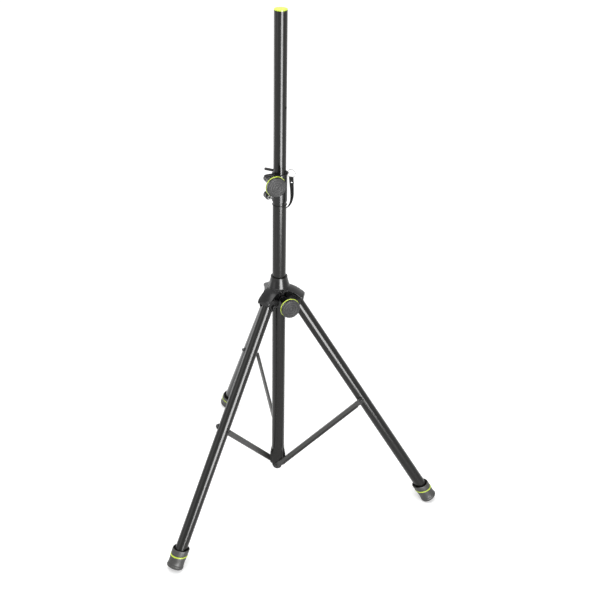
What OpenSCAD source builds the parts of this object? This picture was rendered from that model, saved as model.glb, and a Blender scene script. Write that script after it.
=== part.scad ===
// Loudspeaker tripod stand, stood open. Origin on the mast's axis at floor level, +Z up.
// Legs and braces stand at 0, 120 and 240 degrees round the mast.

/* [Pole] */
// Outside diameter of the upper tube, which a loudspeaker's socket slides onto
pole_d = 35; // [33:0.5:37]
// Wall of the upper tube
pole_wall = 1.5; // [1.2:0.1:2.5]
// Length of the pole that goes into a loudspeaker's socket, down to the fine groove that marks it
socket_len = 110; // [80:5:150]
// Width of that groove
groove_w = 1.2; // [0.8:0.1:2]
// Depth of that groove
groove_t = 0.2; // [0.1:0.05:0.4]
// Length of the upper tube
pole_len = 1048; // [850:1:1250]
// Height of the stand's top above the floor
stand_h = 1516; // [1400:1:1600]
// Spacing of the cross holes along the upper tube
hole_pitch = 182; // [100:1:200]
// Thickness of the end cap's flange
cap_t = 3.2; // [2:0.1:6]

/* [Mast] */
// Gap between the upper tube and the inside of the mast
mast_play = 0.4; // [0.3:0.05:1]
// Wall of the mast tube
mast_wall = 1.1; // [0.9:0.1:2]
// Height of the mast tube's top end
mast_top = 1048; // [1030:1:1120]
// Height of the brace bolts in the mast's pressed end
mast_end_z = 95; // [80:1:120]
// Height of the three pressed lobes at the mast's end
lobe_h = 60; // [50:1:80]
// Half width of a lobe
lobe_w = 14; // [11:0.5:14]

/* [Clamp] */
// Length of the mast that the clamp collar grips
clamp_grip = 54; // [50:1:70]
// Height of the clamp collar
clamp_h = 79; // [76:1:90]
// Wall of the clamp collar
clamp_wall = 1.9; // [1.6:0.1:3]
// Distance of the clamp screws from the mast's axis
screw_off = 35; // [34:0.5:38]
// Radius of the rounded ears
ear_r = 10; // [9:0.5:11]
// Thickness of the pair of ears, over both
ear_t = 15; // [13:0.5:20]
// Width of the split between the ears
split_w = 3; // [2:0.5:5]
// Direction in which the ears point
ear_dir = 210; // [205:1:215]

/* [Safety pin] */
// Diameter of the pin
pin_d = 7.5; // [6:0.1:8]
// Direction in which the pin is pulled out
pin_dir = 342; // [336:1:350]
// Length of the pin from the mast's axis to its tip
pin_reach = 46; // [36:1:60]
// Middle radius of the split ring
ring_r = 11.4; // [9:0.1:13]
// Wire of the split ring
ring_wire = 1.8; // [1.2:0.1:2.4]

/* [Knobs] */
// Diameter of a knob's face
knob_d = 54.2; // [48:0.2:57]
// Length of a knob from its face to the end of its neck
knob_len = 62.5; // [55:0.5:70]
// Diameter of a knob's neck
knob_neck = 19; // [16:0.5:22]
// Diameter of the screws of the knobs, the clamp and the leg pivots
screw_d = 8; // [6:0.5:8]

/* [Hub] */
// Height of the leg pivots above the floor
pivot_z = 685.4; // [660:0.1:710]
// Distance of the leg pivots from the mast's axis
pivot_r = 50.5; // [50:0.1:54]
// Height of the hub's sleeve and collar together
hub_h = 93; // [90:1:100]
// Radius at the rim of the hub's collar
hub_rim_r = 23.8; // [23:0.1:26]
// Radius at the foot of the hub's collar
hub_flare_r = 31; // [29:0.5:33]
// Wall of the hub's sleeve liner
liner_wall = 1.9; // [1.2:0.1:2]
// Thickness of a leg hood's side walls
hood_wall = 3.7; // [3:0.1:5]
// Radius of a leg hood's arch across the leg
hood_arch = 80; // [60:1:100]
// Thickness of the lugs that hold a leg's pivot
lug_t = 2.6; // [2:0.1:2.8]
// Rise of the knob's screw above the leg pivots
hub_knob_rise = 12.5; // [10:0.5:13]

/* [Legs] */
// Outside diameter of a leg tube
leg_d = 34; // [30:0.5:35]
// Wall of a leg tube
leg_wall = 1.5; // [1:0.1:2.5]
// Angle of an open leg from the vertical
leg_open = 32.53; // [28:0.01:36]
// Distance along a leg from its pivot to the brace's bolt
brace_at = 376.5; // [360:0.5:390]
// Length of a foot from its rim to its sole
foot_len = 61; // [54:0.5:70]
// Radius of a foot at its widest
foot_r = 24.2; // [23.5:0.1:26]
// Radius of a foot at its rim
foot_rim_r = 24; // [23:0.1:26]
// Wall of a foot's rim, which stands off the leg
foot_rim_t = 2.4; // [1.5:0.1:4]
// Depth of the gap inside a foot's rim
foot_rim_deep = 12; // [4:0.5:14]
// Distance of a foot's ring from the foot's end
foot_ring_at = 41.5; // [32:0.5:44]
// Tilt of a foot's rim and ring
foot_tilt = 16; // [0:1:20]
// Width of a foot's ring
foot_ring_w = 3.4; // [2:0.1:5]

/* [Braces] */
// Height of a brace's channel
brace_w = 17; // [14:0.5:19]
// Thickness of a brace's sheet
brace_t = 2.2; // [1.5:0.1:3]
// Depth of a brace's channel
brace_deep = 6.4; // [4:0.1:7]
// Length of a brace's flat end, without side flanges
brace_bare = 20; // [16:1:40]
// Diameter of the brace bolts
brace_bolt_d = 6; // [5:0.5:7]

/* [Hidden] */
$fn = 64;
legs = [0, 1, 2];
fit = 0.05;            // running clearance on a radius
gap = 0.3;             // gap between pieces that move past each other
pole_r = pole_d / 2;
mast_in = pole_r + mast_play;
mast_r = mast_in + mast_wall;
pole_top = stand_h - cap_t - 0.8;
pole_bot = pole_top - pole_len;
clamp_bot = mast_top - clamp_grip;
clamp_top = clamp_bot + clamp_h;
clamp_r = mast_r + fit + clamp_wall;
bush_top = clamp_top + 1.5;
pin_z = bush_top + 0.2 + pin_d / 2;
pin_flange = pole_r + 0.7;         // the pin's head starts here
eye_at = pin_flange + 4;           // hole of the split ring, from the mast's axis
ear_z = [clamp_top - ear_r, clamp_bot + ear_r + 10.5];
screw_r = screw_d / 2;
bore_r = screw_r + fit;
knob_dir = ear_dir + 90;
knob_r = knob_d / 2;
liner_r = mast_r + fit + liner_wall;
hub_bore = liner_r + fit;
hub_sleeve = hub_bore + 3.5;
hub_bot = pivot_z - 17.4;
hub_top = hub_bot + hub_h;
hub_flare_z = hub_top - 31;
leg_r = leg_d / 2;
cheek = leg_r + 0.5;               // inside of a leg hood, from the leg's middle plane
hood_out = cheek + hood_wall;
lug_out = cheek + lug_t;
hub_knob_z = pivot_z + hub_knob_rise;
boss_end = 31.7;                   // the boss of the knob's screw ends here
leg_end = 12;                      // the leg runs on past its pivot
sole_z = 9;                        // height of the middle of a tilted sole
leg_len = (pivot_z - sole_z) / cos(leg_open);
foot_lip = 6.5;                    // rounding of the sole's edge
brace_in = mast_r + 0.6;           // brace's inner face, from the middle plane
brace_out = brace_in + brace_t;
bolt_r = brace_bolt_d / 2;
knee = [pivot_r + brace_at * sin(leg_open), pivot_z - brace_at * cos(leg_open)];
brace_len = norm([knee[0], knee[1] - mast_end_z]);
brace_lean = atan2(knee[0], knee[1] - mast_end_z);
loop_z = clamp_bot - 11;           // the tether's loop hangs below the collar
loop_wire = 0.8;           // radius of the loop's cord
loop_r = mast_r + loop_wire + fit;
strap_half = 6.3;                  // half the webbing's width
strap_t = 1.8;
strap_top = pin_z - ring_r - ring_wire / 2 - 0.3;

// Route of the tether's webbing, down from the split ring: x, y and height under the ring
strap_route = [[32.6, -9.0, 0], [33.6, -10.2, -12], [34.7, -11.6, -25], [35.7, -13.0, -40], [35.6, -14.1, -54],
    [33.0, -15.6, -68], [28.0, -18.2, -78], [22.5, -19.8, -83], [17.5, -19.4, -84.5], [13.2, -17.3, -83.2]];

black = "#2b2a29";
dark = "#3a3936";
plastic = "#1d1d1e";
grey = "#6b6b6a";
lime = "#cfe338";
steel = "#9a9a98";

// A flat outline in radius and height, given thickness from t0 to t1 across a leg's plane
module plate(t0, t1) {
    translate([0, t1, 0]) rotate([90, 0, 0]) linear_extrude(t1 - t0) children();
}

// A cylinder across a leg's plane
module across(r, t0, t1, x = 0, z = 0, sides = 64) {
    translate([x, t1, z]) rotate([90, 0, 0]) cylinder(r = r, h = t1 - t0, $fn = sides);
}

module ring(r_out, r_in, z0, z1) {
    rotate_extrude() translate([r_in, z0]) square([r_out - r_in, z1 - z0]);
}

// The frame of leg i: z runs down the leg from its pivot
module on_leg(i) {
    rotate([0, 0, 120 * i]) translate([pivot_r, 0, pivot_z]) rotate([0, 180 - leg_open, 0]) children();
}

// The frame of brace i: z runs from the leg's bolt to the mast's end
module on_brace(i) {
    rotate([0, 0, 120 * i]) translate([knee[0], 0, knee[1]]) rotate([0, 180 + brace_lean, 0]) children();
}

// ---- mast ----

module lower_tube() color(black) {
    low = mast_end_z - 12;
    difference() {
        union() {
            translate([0, 0, low + 10]) cylinder(r = mast_r, h = mast_top - low - 10);
            for (i = legs) rotate([0, 0, 120 * i]) translate([0, 0, low]) lobe_block();
        }
        translate([0, 0, low + lobe_h + 12]) cylinder(r = mast_in, h = mast_top);
        translate([0, 0, low + 24]) cylinder(r = 11, h = lobe_h);
        for (i = legs) rotate([0, 0, 120 * i - 30]) translate([mast_r + 6.4, 0, low + lobe_h - 4])
            rotate([0, 4.6, 0]) translate([0, 0, -1.5 * lobe_h]) cylinder(r = lobe_w / 2, h = 3 * lobe_h);
    }
}

// One pressed lobe: a flat cheek for a brace, round at its lower edge
module lobe_block() plate(-brace_in + gap, 0) union() {
    translate([0, lobe_w]) circle(r = lobe_w);
    polygon([[-lobe_w, lobe_w], [lobe_w, lobe_w], [lobe_w - 3, lobe_h * 0.55], [4, lobe_h - 4],
        [-4, lobe_h - 4], [3 - lobe_w, lobe_h * 0.55]]);
}

// ---- clamp ----

module clamp_collar() color(plastic) difference() {
    union() {
        translate([0, 0, clamp_bot]) cylinder(r = clamp_r, h = clamp_h);
        rotate([0, 0, ear_dir]) for (z = ear_z) {
            across(ear_r, -ear_t / 2, ear_t / 2, screw_off, z);
            translate([10, -ear_t / 2, z - ear_r]) cube([screw_off - 10, ear_t, 2 * ear_r]);
        }
    }
    translate([0, 0, clamp_bot - 1]) cylinder(r = mast_r + fit, h = clamp_h + 8);
    rotate([0, 0, ear_dir]) {
        translate([mast_r - 3, -split_w / 2, clamp_bot - 1]) cube([60, split_w, clamp_h + 8]);
        for (z = ear_z) across(bore_r + 0.1, -ear_t, ear_t, screw_off, z);
    }
    translate([0, 0, clamp_top]) cylinder(r = mast_r + 4, h = 8);
}

module clamp_bushing() color(dark) difference() {
    union() {
        ring(mast_r, pole_r + fit, mast_top, clamp_top);
        ring(mast_r + 2, pole_r + fit, clamp_top, bush_top);
    }
    rotate([0, 0, ear_dir]) translate([pole_r - 2, -split_w / 2, mast_top - 1])
        cube([10, split_w, clamp_h]);
}

module clamp_bolt() color(steel) rotate([0, 0, ear_dir]) difference() {
    union() {
        across(screw_r, -ear_t / 2 - 9, ear_t / 2, screw_off, ear_z[1]);
        across(screw_r * 1.6, ear_t / 2, ear_t / 2 + screw_d, screw_off, ear_z[1]);
    }
    across(screw_r * 0.8, ear_t / 2 + screw_d - 4, ear_t / 2 + screw_d + 1, screw_off, ear_z[1], 6);
}

module clamp_nuts() color(steel) rotate([0, 0, ear_dir]) for (z = ear_z) difference() {
    across(screw_r * 1.85, -ear_t / 2 - 6.5, -ear_t / 2, screw_off, z, 6);
    across(bore_r, -ear_t / 2 - 8, -ear_t / 2 + 1, screw_off, z);
}

module tether_loop() color(plastic) translate([0, 0, loop_z])
    rotate_extrude() translate([loop_r, 0]) circle(r = loop_wire, $fn = 16);

// Webbing of the tether: a flat band that turns a quarter as it falls from the ring to the loop
function mix(a, b, f) = a + (b - a) * f;
function spline(p, k, f) = let (n = len(p) - 1, a = p[max(k - 1, 0)], b = p[k], c = p[k + 1],
    d = p[min(k + 2, n)]) 0.5 * (2 * b + (c - a) * f + (2 * a - 5 * b + 4 * c - d) * f * f
    + (3 * b - a - 3 * c + d) * f * f * f);
strap_line = concat([for (k = [0:len(strap_route) - 2], s = [0:2]) spline(strap_route, k, s / 3)],
    [strap_route[len(strap_route) - 1]]);
function unit(v) = v / norm(v);
function strap_ring(k, n) = let (p = strap_line[k], f = k / n, az = mix(pin_dir, 278, f),
    along = unit(strap_line[min(k + 1, n)] - strap_line[max(k - 1, 0)]), lift = 24 * f,
    raw = [cos(az) * cos(lift), sin(az) * cos(lift), sin(lift)],
    wide = unit(raw - along * (raw * along)), thick = cross(along, wide),
    half = mix(strap_half, 1.5, max(0, f - 0.6) / 0.4))
    [for (a = [0:45:315]) p + wide * half * cos(a) + thick * strap_t / 2 * sin(a)
        + [0, 0, strap_top]];

module tether_strap() color(plastic) {
    n = len(strap_line) - 1;
    points = [for (k = [0:n]) each strap_ring(k, n)];
    polyhedron(points, concat([[7, 6, 5, 4, 3, 2, 1, 0]],
        [for (k = [0:n - 1], j = [0:7]) each [[k * 8 + j, k * 8 + (j + 1) % 8, k * 8 + 8 + j],
            [k * 8 + (j + 1) % 8, k * 8 + 8 + (j + 1) % 8, k * 8 + 8 + j]]],
        [[for (j = [0:7]) n * 8 + j]]));
}

// ---- pole ----

module upper_tube() color(black) difference() {
    ring(pole_r, pole_r - pole_wall, pole_bot, pole_top);
    ring(pole_r + 1, pole_r - groove_t, pole_top - socket_len - groove_w, pole_top - socket_len);
    for (k = [-2:1]) rotate([0, 0, pin_dir + 90])
        across(pin_d / 2 + 0.1, -pole_d, pole_d, 0, pin_z + k * hole_pitch);
}

module top_cap() color(lime) union() {
    translate([0, 0, pole_top - 14]) cylinder(r = pole_r - pole_wall - fit, h = 14.1);
    translate([0, 0, pole_top]) cylinder(r = pole_r - 0.6, h = 0.9);
    rotate_extrude() polygon([[0, pole_top + 0.8], [pole_r, pole_top + 0.8], [pole_r, stand_h - 0.8],
        [pole_r - 0.8, stand_h], [0, stand_h]]);
}

module pole_guide() color(plastic) {
    ring(mast_in - fit, pole_r - pole_wall - 4, pole_bot - 3, pole_bot);
    ring(pole_r - pole_wall - fit, pole_r - pole_wall - 4, pole_bot - 0.1, pole_bot + 22);
}

// ---- knobs, drawn with their face at z = 0 and their neck pointing down ----

module knob_body() color(plastic) difference() {
    rotate_extrude() polygon(concat([[0, -6], [knob_r - 2.05, -6], [knob_r - 2.05, -2.6],
        [knob_r - 0.6, -2.6], [knob_r + 0.2, -3.6], [knob_r + 0.2, -11], [knob_r - 4, -11],
        [knob_r - 4, -13.4], [knob_r - 0.8, -13.4], [knob_r - 1.6, -16.5]],
        [for (a = [0:10:90]) [knob_neck / 2 + (knob_r - 4 - knob_neck / 2) * (1 - sin(a)), -19 - 15 * sin(a / 2)]],
        [[knob_neck / 2, -knob_len + 1], [knob_neck / 2 - 1, -knob_len], [0, -knob_len]]));
    translate([0, 0, -knob_len - 1]) cylinder(r = screw_r + 0.02, h = 31);
}

module knob_ring() color(lime) rotate_extrude() polygon([[knob_r - 3.95, -13.35], [knob_r + 0.9, -13.35],
    [knob_r + 1.4, -12.8], [knob_r + 1.4, -11.6], [knob_r + 0.9, -11.05], [knob_r - 3.95, -11.05]]);

// The face has three plain turned steps round a shallow middle
module knob_face() color(grey) rotate_extrude() polygon([[0, -5.95], [knob_r - 2.1, -5.95],
    [knob_r - 2.1, -2.55], [knob_r - 0.9, -2.55], [knob_r - 0.9, -1.8], [knob_r - 2, -0.5],
    [knob_r - 4.4, 0], [knob_r - 4.8, -0.9], [knob_r - 8.6, -0.9],
    [knob_r - 9, 0], [knob_r - 12.2, 0], [knob_r - 12.6, -0.9], [knob_r - 15.4, -0.9], [knob_r - 15.8, 0],
    [knob_r - 18.6, 0], [knob_r - 19, -0.9], [0, -0.9]]);

module knob_stud(tail) color(steel) translate([0, 0, -knob_len - tail])
    cylinder(r = screw_r, h = tail + 29.9);

module at_clamp_knob() {
    rotate([0, 0, ear_dir]) translate([screw_off, ear_t / 2 + gap + knob_len, ear_z[0]])
        rotate([-90, 0, 0]) children();
}

module at_hub_knob() {
    rotate([0, 0, knob_dir]) translate([boss_end + gap + knob_len, 0, hub_knob_z])
        rotate([0, 90, 0]) children();
}

// ---- safety pin ----

module at_pin() {
    rotate([0, 0, pin_dir]) translate([0, 0, pin_z]) rotate([0, 90, 0]) children();
}

module safety_pin() color(plastic) at_pin() rotate_extrude() polygon([[0, -pin_reach],
    [pin_d / 2 - 1.4, -pin_reach], [pin_d / 2, -pin_reach + 2], [pin_d / 2, pin_flange], [0, pin_flange]]);

module pin_head() color(plastic) difference() {
    at_pin() {
        translate([0, 0, pin_flange]) intersection() {
            cylinder(r = pin_d / 2 + 2.8, h = 1.8);
            translate([-10, -10, -1]) cube([10 + pin_z - bush_top - gap, 20, 4]);
        }
        translate([-3, -4.4, pin_flange + 1.7]) cube([6, 8.8, 4.8]);
    }
    rotate([0, 0, pin_dir]) translate([eye_at, 0, pin_z - 10]) cylinder(r = ring_wire / 2 + 0.85, h = 20);
}

module split_ring() color(steel) rotate([0, 0, pin_dir]) translate([eye_at, 0, pin_z])
    rotate([90, 0, 10]) translate([ring_r, 0, 0]) rotate_extrude() translate([ring_r, 0]) circle(r = ring_wire / 2, $fn = 20);

// ---- hub ----

ridge = [[hub_flare_r, hub_flare_z - 2.5], [pivot_r + 18.5, hub_flare_z - 25]];
slope = atan2(ridge[0][1] - ridge[1][1], ridge[1][0] - ridge[0][0]);
roof = hood_wall / cos(slope);
lip = [pivot_r + 23.5, pivot_z + 14.5];
// An open leg stops just short of the hood's end wall
stop_r = pivot_r + (leg_r + gap - 2 * sin(leg_open)) / cos(leg_open);

module hood_side() {
    polygon([[18, hub_flare_z + 10], ridge[0], ridge[1], [lip[0] - 1.6, lip[1] + 3.2], lip,
        [stop_r + 2.8, pivot_z + 2.5], [stop_r, pivot_z + 2], [pivot_r - 12, hub_flare_z - 10],
        [18, hub_flare_z - 3]]);
}

module hood_room() {
    polygon([[hub_sleeve, pivot_z - 60], [hub_sleeve, hub_flare_z - 8], [hub_flare_r, ridge[0][1] - roof],
        [ridge[1][0], ridge[1][1] - roof], [stop_r + 1.2, pivot_z + 12], [stop_r, pivot_z + 2],
        [stop_r + 30, pivot_z - 60]]);
}

// A hood over the top of one leg, arched across
module hood() {
    intersection() {
        plate(-hood_out, hood_out) hood_side();
        translate([ridge[0][0], 0, ridge[0][1]]) rotate([0, 90 + slope, 0])
            translate([hood_arch, 0, -60]) cylinder(r = hood_arch, h = 140, $fn = 96);
    }
}

module hub_skirt() difference() {
    ring(hub_flare_r, hub_sleeve, pivot_z + 14, hub_flare_z + 1);
    for (i = legs) rotate([0, 0, 120 * i + 60]) translate([15, 0, hub_flare_z - 28.5])
        rotate([0, 90, 0]) cylinder(r = 25, h = 30);
    ring(hub_flare_r - 3, hub_sleeve - 1, pivot_z + 10, hub_flare_z - 5);
}

module hub_lug() {
    for (side = [-1, 1]) plate(side > 0 ? cheek : -lug_out, side > 0 ? lug_out : -cheek) union() {
        polygon([[12, hub_flare_z - 2], [pivot_r - 16, hub_flare_z - 2], [pivot_r + 19, pivot_z + 12],
            [pivot_r + 14, pivot_z], [pivot_r - 12, pivot_z - 7], [12, pivot_z + 2]]);
        translate([pivot_r, pivot_z]) circle(r = 14);
    }
}

module hub_casting() color(plastic) difference() {
    union() {
        difference() {
            union() {
                rotate_extrude() polygon([[hub_bore - 1, hub_flare_z], [hub_flare_r, hub_flare_z],
                    [hub_flare_r, hub_flare_z + 1.5], [hub_rim_r + 0.3, hub_top - 6], [hub_rim_r, hub_top],
                    [hub_bore - 1, hub_top]]);
                hub_skirt();
                for (i = legs) rotate([0, 0, 120 * i]) hood();
            }
            for (i = legs) rotate([0, 0, 120 * i]) plate(-cheek, cheek) hood_room();
        }
        translate([0, 0, hub_bot]) cylinder(r = hub_sleeve, h = hub_flare_z - hub_bot + 1);
        for (i = legs) rotate([0, 0, 120 * i]) hub_lug();
        rotate([0, 0, knob_dir]) translate([0, 0, hub_knob_z]) rotate([0, 90, 0]) cylinder(r = 10.5, h = boss_end);
    }
    translate([0, 0, hub_bot - 30]) cylinder(r = hub_bore, h = hub_h + 60);
    rotate([0, 0, knob_dir]) translate([0, 0, hub_knob_z]) rotate([0, 90, 0])
        cylinder(r = screw_r + 3, h = boss_end + 1);
    for (i = legs) rotate([0, 0, 120 * i]) across(bore_r, -40, 40, pivot_r, pivot_z);
}

module hub_liner() color(dark) difference() {
    ring(liner_r, mast_r + fit, hub_bot, hub_top - 1);
    rotate([0, 0, knob_dir]) translate([0, 0, hub_knob_z]) rotate([0, 90, 0]) cylinder(r = screw_r + 1, h = 40);
}

module hub_insert() color(steel) rotate([0, 0, knob_dir]) translate([hub_sleeve + 0.2, 0, hub_knob_z])
    rotate([0, 90, 0]) ring(screw_r + 3 - fit, bore_r, 0, boss_end - hub_sleeve - 0.2);

module leg_pivot_bolts() color(steel) for (i = legs) rotate([0, 0, 120 * i]) difference() {
    union() {
        across(screw_r, -lug_out - 7.5, lug_out + 1, pivot_r, pivot_z);
        across(screw_r * 1.6, lug_out, lug_out + 5, pivot_r, pivot_z);
    }
    across(screw_r * 0.7, lug_out + 2, lug_out + 6, pivot_r, pivot_z, 6);
}

module leg_pivot_nuts() color(steel) for (i = legs) rotate([0, 0, 120 * i]) difference() {
    across(screw_r * 1.85, -lug_out - 6.5, -lug_out, pivot_r, pivot_z, 6);
    across(bore_r, -lug_out - 8, -lug_out + 1, pivot_r, pivot_z);
}

// ---- legs ----

module leg_tube(i) color(black) on_leg(i) difference() {
    ring(leg_r, leg_r - leg_wall, -leg_end + 2.2, leg_len - 8.1);
    across(bore_r, -leg_d, leg_d);
    across(bolt_r + fit, -leg_d, leg_d, 0, brace_at);
}

module leg_plug(i) color(plastic) on_leg(i) difference() {
    rotate_extrude() polygon([[0, -leg_end], [leg_r - 2.4, -leg_end], [leg_r, -leg_end + 1.6],
        [leg_r, -leg_end + 2.1], [leg_r - leg_wall - fit, -leg_end + 2.1], [leg_r - leg_wall - fit, 16], [0, 16]]);
    across(bore_r, -leg_d, leg_d);
}

function foot_side() = [[leg_r + 0.05, leg_len - foot_len - 12], [foot_rim_r, leg_len - foot_len - 12],
    [foot_rim_r, leg_len - foot_len + 6], [foot_rim_r - 0.6, leg_len - foot_ring_at],
    [foot_r - 1.2, leg_len - foot_lip - 10]];

// The side of a tilted plane across a leg that lies towards the hub
module above(at) translate([0, 0, leg_len - at]) rotate([0, foot_tilt, 0]) translate([-40, -40, -40])
    cube([80, 80, 40]);

module foot(i) color(dark) difference() {
    on_leg(i) difference() {
        rotate_extrude() union() {
            polygon(concat(foot_side(), [[foot_r, leg_len - foot_lip - 4]],
                [for (a = [0:15:90]) [foot_r - foot_lip + foot_lip * cos(a), leg_len - foot_lip + foot_lip * sin(a)]],
                [[0, leg_len], [0, leg_len - 8], [leg_r + 0.05, leg_len - 8]]));
        }
        above(foot_len);
        intersection() {
            above(foot_len - foot_rim_deep);
            translate([0, 0, leg_len - foot_len - 30]) cylinder(r = foot_rim_r - foot_rim_t, h = foot_len);
        }
        foot_band(foot_ring_w + 0.1, foot_rim_r - foot_rim_t, 40);
    }
    translate([0, 0, -50]) rotate([0, 0, 120 * i]) translate([300, -60, 0]) cube([300, 120, 50]);
}

// The tilted band round a foot that its ring lies in
module foot_band(w, r_in, r_out) {
    difference() {
        translate([0, 0, leg_len - foot_ring_at]) rotate([0, foot_tilt, 0]) translate([-40, -40, -w / 2])
            cube([80, 80, w]);
        ring(r_out + 60, r_out, leg_len - foot_len - 20, leg_len);
        translate([0, 0, leg_len - foot_len - 20]) cylinder(r = r_in, h = foot_len + 20);
    }
}

module foot_ring(i) color(lime) on_leg(i)
    foot_band(foot_ring_w, foot_rim_r - foot_rim_t + 0.05, foot_rim_r + 0.6);

module brace_bolt(i) color(steel) on_leg(i) union() {
    across(bolt_r, -brace_out - gap - 1, leg_r + 6.5, 0, brace_at);
    across(bolt_r * 1.85, -brace_out - gap - 4, -brace_out - gap, 0, brace_at);
}

module brace_spacer(i) color(plastic) on_leg(i) difference() {
    across(bolt_r * 2.1, -brace_in + gap, -leg_r, 0, brace_at);
    across(bolt_r + fit, -brace_in - 1, -leg_r + 1, 0, brace_at);
}

module brace_nut(i) color(steel) on_leg(i) difference() {
    across(bolt_r * 1.9, leg_r, leg_r + 5.2, 0, brace_at, 6);
    across(bolt_r + fit, leg_r - 1, leg_r + 6, 0, brace_at);
}

// ---- braces ----

module brace(i) color(dark) on_brace(i) difference() {
    union() {
        plate(-brace_out, -brace_in) union() {
            translate([-brace_w / 2, 0]) square([brace_w, brace_len]);
            circle(r = brace_w / 2);
            translate([0, brace_len]) circle(r = brace_w / 2);
        }
        for (side = [-1, 1])
            translate([side * (brace_w - brace_t) / 2 - brace_t / 2, -brace_in - brace_deep, brace_bare])
                cube([brace_t, brace_deep - 0.1, brace_len - 2 * brace_bare]);
    }
    for (z = [0, brace_len]) across(bolt_r + fit, -brace_out - 1, -brace_in + 1, 0, z);
}

module brace_end_bolt(i) color(steel) on_brace(i) union() {
    across(bolt_r, -brace_out - 1, -brace_in, 0, brace_len);
    across(bolt_r * 1.85, -brace_out - 4, -brace_out, 0, brace_len);
}

lower_tube();
clamp_collar();
clamp_bushing();
clamp_bolt();
clamp_nuts();
tether_loop();
tether_strap();
upper_tube();
top_cap();
pole_guide();
at_clamp_knob() knob_body();  // clamp_knob
at_clamp_knob() knob_ring();  // clamp_knob_ring
at_clamp_knob() knob_face();  // clamp_knob_face
at_clamp_knob() knob_stud(ear_t + 9);  // clamp_knob_stud
safety_pin();
pin_head();
split_ring();
hub_casting();
hub_liner();
hub_insert();
leg_pivot_bolts();
leg_pivot_nuts();
at_hub_knob() knob_body();  // hub_knob
at_hub_knob() knob_ring();  // hub_knob_ring
at_hub_knob() knob_face();  // hub_knob_face
at_hub_knob() knob_stud(boss_end + gap - mast_r - 0.2);  // hub_knob_stud
for (i = legs) {
    leg_tube(i);
    leg_plug(i);
    foot(i);
    foot_ring(i);
    brace_bolt(i);
    brace_spacer(i);
    brace_nut(i);
    brace(i);
    brace_end_bolt(i);
}
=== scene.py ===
import bpy, bmesh
from math import sin, cos, tan, pi, radians, sqrt
from mathutils import Matrix, Vector


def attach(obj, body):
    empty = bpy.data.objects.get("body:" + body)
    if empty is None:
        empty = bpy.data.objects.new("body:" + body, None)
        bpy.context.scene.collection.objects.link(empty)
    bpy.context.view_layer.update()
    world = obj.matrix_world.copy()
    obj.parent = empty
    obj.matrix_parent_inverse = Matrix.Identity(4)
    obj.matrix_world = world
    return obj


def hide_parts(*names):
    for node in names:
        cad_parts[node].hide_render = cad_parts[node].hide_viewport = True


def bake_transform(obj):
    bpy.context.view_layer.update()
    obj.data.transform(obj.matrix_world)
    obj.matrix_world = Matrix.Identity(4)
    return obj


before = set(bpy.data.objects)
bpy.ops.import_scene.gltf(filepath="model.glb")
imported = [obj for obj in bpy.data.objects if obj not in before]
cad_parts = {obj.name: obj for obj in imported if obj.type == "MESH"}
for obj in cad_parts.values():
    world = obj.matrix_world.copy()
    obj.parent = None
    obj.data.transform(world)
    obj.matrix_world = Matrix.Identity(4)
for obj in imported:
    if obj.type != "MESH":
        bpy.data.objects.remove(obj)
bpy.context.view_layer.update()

scene = bpy.context.scene
scene.view_settings.view_transform = "Standard"

# ---- Room ----
# A plain pale floor under a white sky. The camera and glossy surfaces see the room as white, and the
# floor keeps a soft shadow round the feet.
sky_light, floor_half = 0.42, 14
world = bpy.data.worlds.new("room")
scene.world = world
world.use_nodes = True
nodes, links = world.node_tree.nodes, world.node_tree.links
sky = nodes["Background"]
sky.inputs["Color"].default_value = (1, 1, 1, 1)
sky.inputs["Strength"].default_value = sky_light
white = nodes.new("ShaderNodeBackground")
white.inputs["Color"].default_value = (1, 1, 1, 1)
white.inputs["Strength"].default_value = 1
path = nodes.new("ShaderNodeLightPath")
seen = nodes.new("ShaderNodeMath"); seen.operation = "MAXIMUM"
seen_too = nodes.new("ShaderNodeMath"); seen_too.operation = "MAXIMUM"
pick = nodes.new("ShaderNodeMixShader")
links.new(path.outputs["Is Camera Ray"], seen.inputs[0])
links.new(path.outputs["Is Glossy Ray"], seen.inputs[1])
links.new(seen.outputs[0], seen_too.inputs[0])
links.new(path.outputs["Is Transmission Ray"], seen_too.inputs[1])
links.new(seen_too.outputs[0], pick.inputs[0])
links.new(sky.outputs[0], pick.inputs[1])
links.new(white.outputs[0], pick.inputs[2])
links.new(pick.outputs[0], nodes["World Output"].inputs[0])

# The floor's own glow lifts it to white for the camera and for gloss, more so away from the stand
floor_near, floor_far, near_lift, far_lift = 0.7, 3.0, 0.36, 0.68
floor_paint = bpy.data.materials.new("floor_paint")
floor_paint.use_nodes = True
nodes, links = floor_paint.node_tree.nodes, floor_paint.node_tree.links
matt = nodes["Principled BSDF"]
matt.inputs["Base Color"].default_value = (0.9, 0.9, 0.9, 1)
matt.inputs["Roughness"].default_value = 0.9
matt.inputs["Specular IOR Level"].default_value = 0.1
glow = nodes.new("ShaderNodeEmission")
path = nodes.new("ShaderNodeLightPath")
seen = nodes.new("ShaderNodeMath"); seen.operation = "MAXIMUM"
lift = nodes.new("ShaderNodeMath"); lift.operation = "MULTIPLY"
where = nodes.new("ShaderNodeTexCoord")
reach = nodes.new("ShaderNodeVectorMath"); reach.operation = "LENGTH"
open_floor = nodes.new("ShaderNodeMapRange")
open_floor.inputs["From Min"].default_value = floor_near
open_floor.inputs["From Max"].default_value = floor_far
open_floor.inputs["To Min"].default_value = near_lift
open_floor.inputs["To Max"].default_value = far_lift
both = nodes.new("ShaderNodeAddShader")
links.new(where.outputs["Object"], reach.inputs[0])
links.new(reach.outputs["Value"], open_floor.inputs["Value"])
links.new(path.outputs["Is Camera Ray"], seen.inputs[0])
links.new(path.outputs["Is Glossy Ray"], seen.inputs[1])
links.new(seen.outputs[0], lift.inputs[0])
links.new(open_floor.outputs["Result"], lift.inputs[1])
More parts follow.
